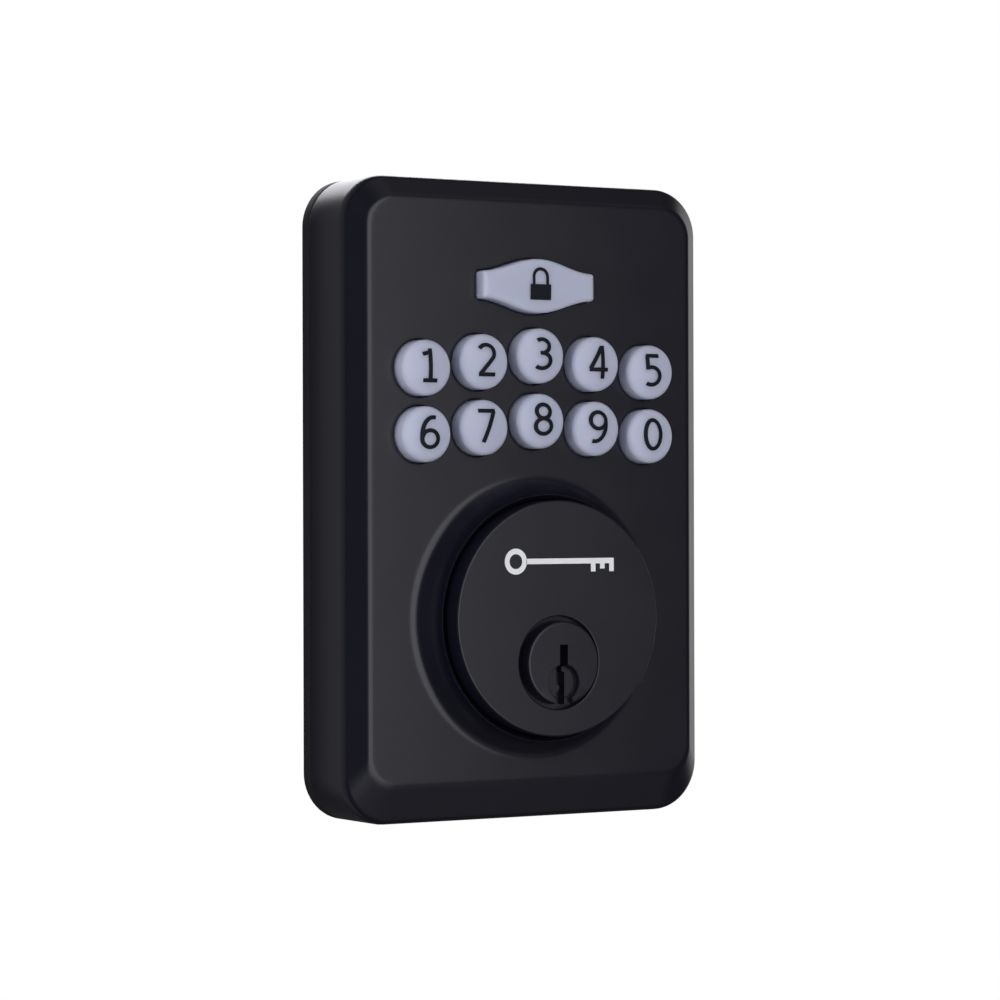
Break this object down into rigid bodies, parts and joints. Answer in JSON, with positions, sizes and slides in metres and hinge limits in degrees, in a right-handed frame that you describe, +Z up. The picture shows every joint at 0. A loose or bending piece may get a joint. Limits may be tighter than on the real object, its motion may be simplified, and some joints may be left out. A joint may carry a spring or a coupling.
{
  "type": "keypad smart lock",
  "caption": "Exterior unit of a keypad door lock: chamfered escutcheon with sprung number keys, a lock key, and a pin tumbler cylinder that turns a tailpiece.",
  "frame": {"origin": "on the axis of the door's bore, midway between the two through-bolts, in the plane of the door face", "axes": "+Y into the door, along the bore and the tailpiece; -Y out of the front face; +Z up; +X to the right seen from the front"},
  "size_m": [0.0652, 0.0686, 0.1],
  "materials": {
    "shell_black": "fine matt powder coat",
    "collar_black": "fine matt powder coat",
    "plug_black": "satin black plating",
    "cover_plastic": "fine spark texture",
    "black_rubber": "matt",
    "key_plastic": "smooth satin, light passes through",
    "ink": "printed, satin",
    "sign_white": "printed, satin",
    "silicone": "matt, slightly clouded",
    "board": "solder mask, satin",
    "led": "clear lens",
    "chip": "moulded epoxy",
    "socket": "moulded nylon",
    "steel": "bright zinc plate",
    "brass": "turned"
  },
  "bodies": {
    "lock_body": {"escutcheon": "shell_black", "back_cover": "cover_plastic", "rear_gasket": "black_rubber", "cover_screws": "steel", "key_mat": "silicone", "keypad_board": "board", "board_screws": "steel", "board_leds": "led", "board_chips": "chip", "buzzer": "chip", "cable_socket": "socket", "cylinder_body": "collar_black", "cylinder_screws": "steel", "collar_seal": "black_rubber", "pin_spring_1": "steel", "pin_spring_2": "steel", "pin_spring_3": "steel", "pin_spring_4": "steel", "pin_spring_5": "steel", "pin_cover": "brass"},
    "key_1_cap": {"key_1": "key_plastic"},
    "key_2_cap": {"key_2": "key_plastic"},
    "key_3_cap": {"key_3": "key_plastic"},
    "key_4_cap": {"key_4": "key_plastic"},
    "key_5_cap": {"key_5": "key_plastic"},
    "key_6_cap": {"key_6": "key_plastic"},
    "key_7_cap": {"key_7": "key_plastic"},
    "key_8_cap": {"key_8": "key_plastic"},
    "key_9_cap": {"key_9": "key_plastic"},
    "key_0_cap": {"key_0": "key_plastic"},
    "lock_key_cap": {"lock_key": "key_plastic"},
    "plug_assembly": {"plug": "plug_black", "tail_cap": "steel", "cap_pin": "steel"},
    "tail_blade": {"tailpiece": "steel"},
    "key_pin_1_body": {"key_pin_1": "brass"},
    "key_pin_2_body": {"key_pin_2": "brass"},
    "key_pin_3_body": {"key_pin_3": "brass"},
    "key_pin_4_body": {"key_pin_4": "brass"},
    "key_pin_5_body": {"key_pin_5": "brass"},
    "driver_pin_1_body": {"driver_pin_1": "steel"},
    "driver_pin_2_body": {"driver_pin_2": "steel"},
    "driver_pin_3_body": {"driver_pin_3": "steel"},
    "driver_pin_4_body": {"driver_pin_4": "steel"},
    "driver_pin_5_body": {"driver_pin_5": "steel"}
  },
  "joints": [
    {"name": "key_1_press", "type": "slide", "parent": "lock_body", "child": "key_1_cap", "axis": [0, 1, 0], "range_m": [0, 0.0011], "stiffness_N_per_m": 1500, "deforming": ["key_mat"]},
    {"name": "key_2_press", "type": "slide", "parent": "lock_body", "child": "key_2_cap", "axis": [0, 1, 0], "range_m": [0, 0.0011], "stiffness_N_per_m": 1500, "deforming": ["key_mat"]},
    {"name": "key_3_press", "type": "slide", "parent": "lock_body", "child": "key_3_cap", "axis": [0, 1, 0], "range_m": [0, 0.0011], "stiffness_N_per_m": 1500, "deforming": ["key_mat"]},
    {"name": "key_4_press", "type": "slide", "parent": "lock_body", "child": "key_4_cap", "axis": [0, 1, 0], "range_m": [0, 0.0011], "stiffness_N_per_m": 1500, "deforming": ["key_mat"]},
    {"name": "key_5_press", "type": "slide", "parent": "lock_body", "child": "key_5_cap", "axis": [0, 1, 0], "range_m": [0, 0.0011], "stiffness_N_per_m": 1500, "deforming": ["key_mat"]},
    {"name": "key_6_press", "type": "slide", "parent": "lock_body", "child": "key_6_cap", "axis": [0, 1, 0], "range_m": [0, 0.0011], "stiffness_N_per_m": 1500, "deforming": ["key_mat"]},
    {"name": "key_7_press", "type": "slide", "parent": "lock_body", "child": "key_7_cap", "axis": [0, 1, 0], "range_m": [0, 0.0011], "stiffness_N_per_m": 1500, "deforming": ["key_mat"]},
    {"name": "key_8_press", "type": "slide", "parent": "lock_body", "child": "key_8_cap", "axis": [0, 1, 0], "range_m": [0, 0.0011], "stiffness_N_per_m": 1500, "deforming": ["key_mat"]},
    {"name": "key_9_press", "type": "slide", "parent": "lock_body", "child": "key_9_cap", "axis": [0, 1, 0], "range_m": [0, 0.0011], "stiffness_N_per_m": 1500, "deforming": ["key_mat"]},
    {"name": "key_0_press", "type": "slide", "parent": "lock_body", "child": "key_0_cap", "axis": [0, 1, 0], "range_m": [0, 0.0011], "stiffness_N_per_m": 1500, "deforming": ["key_mat"]},
    {"name": "lock_key_press", "type": "slide", "parent": "lock_body", "child": "lock_key_cap", "axis": [0, 1, 0], "range_m": [0, 0.0011], "stiffness_N_per_m": 1500, "deforming": ["key_mat"]},
    {"name": "key_turn", "type": "hinge", "parent": "lock_body", "child": "plug_assembly", "pos_m": [0, 0, -0.00686], "axis": [0, 1, 0], "range_deg": [-90, 90]},
    {"name": "tail_swing", "type": "hinge", "parent": "plug_assembly", "child": "tail_blade", "pos_m": [0, 0, -0.00686], "axis": [0, 1, 0], "range_deg": [-45, 45]},
    {"name": "key_pin_1_drop", "type": "slide", "parent": "plug_assembly", "child": "key_pin_1_body", "axis": [0, 0, 1], "range_m": [-0.00357, 0]},
    {"name": "key_pin_2_drop", "type": "slide", "parent": "plug_assembly", "child": "key_pin_2_body", "axis": [0, 0, 1], "range_m": [-0.00231, 0]},
    {"name": "key_pin_3_drop", "type": "slide", "parent": "plug_assembly", "child": "key_pin_3_body", "axis": [0, 0, 1], "range_m": [-0.00315, 0]},
    {"name": "key_pin_4_drop", "type": "slide", "parent": "plug_assembly", "child": "key_pin_4_body", "axis": [0, 0, 1], "range_m": [-0.00189, 0]},
    {"name": "key_pin_5_drop", "type": "slide", "parent": "plug_assembly", "child": "key_pin_5_body", "axis": [0, 0, 1], "range_m": [-0.00273, 0]},
    {"name": "driver_pin_1_lift", "type": "slide", "parent": "lock_body", "child": "driver_pin_1_body", "axis": [0, 0, 1], "range_m": [0, 0.0012], "stiffness_N_per_m": 250, "deforming": ["pin_spring_1"]},
    {"name": "driver_pin_2_lift", "type": "slide", "parent": "lock_body", "child": "driver_pin_2_body", "axis": [0, 0, 1], "range_m": [0, 0.0012], "stiffness_N_per_m": 250, "deforming": ["pin_spring_2"]},
    {"name": "driver_pin_3_lift", "type": "slide", "parent": "lock_body", "child": "driver_pin_3_body", "axis": [0, 0, 1], "range_m": [0, 0.0012], "stiffness_N_per_m": 250, "deforming": ["pin_spring_3"]},
    {"name": "driver_pin_4_lift", "type": "slide", "parent": "lock_body", "child": "driver_pin_4_body", "axis": [0, 0, 1], "range_m": [0, 0.0012], "stiffness_N_per_m": 250, "deforming": ["pin_spring_4"]},
    {"name": "driver_pin_5_lift", "type": "slide", "parent": "lock_body", "child": "driver_pin_5_body", "axis": [0, 0, 1], "range_m": [0, 0.0012], "stiffness_N_per_m": 250, "deforming": ["pin_spring_5"]}
  ]
}
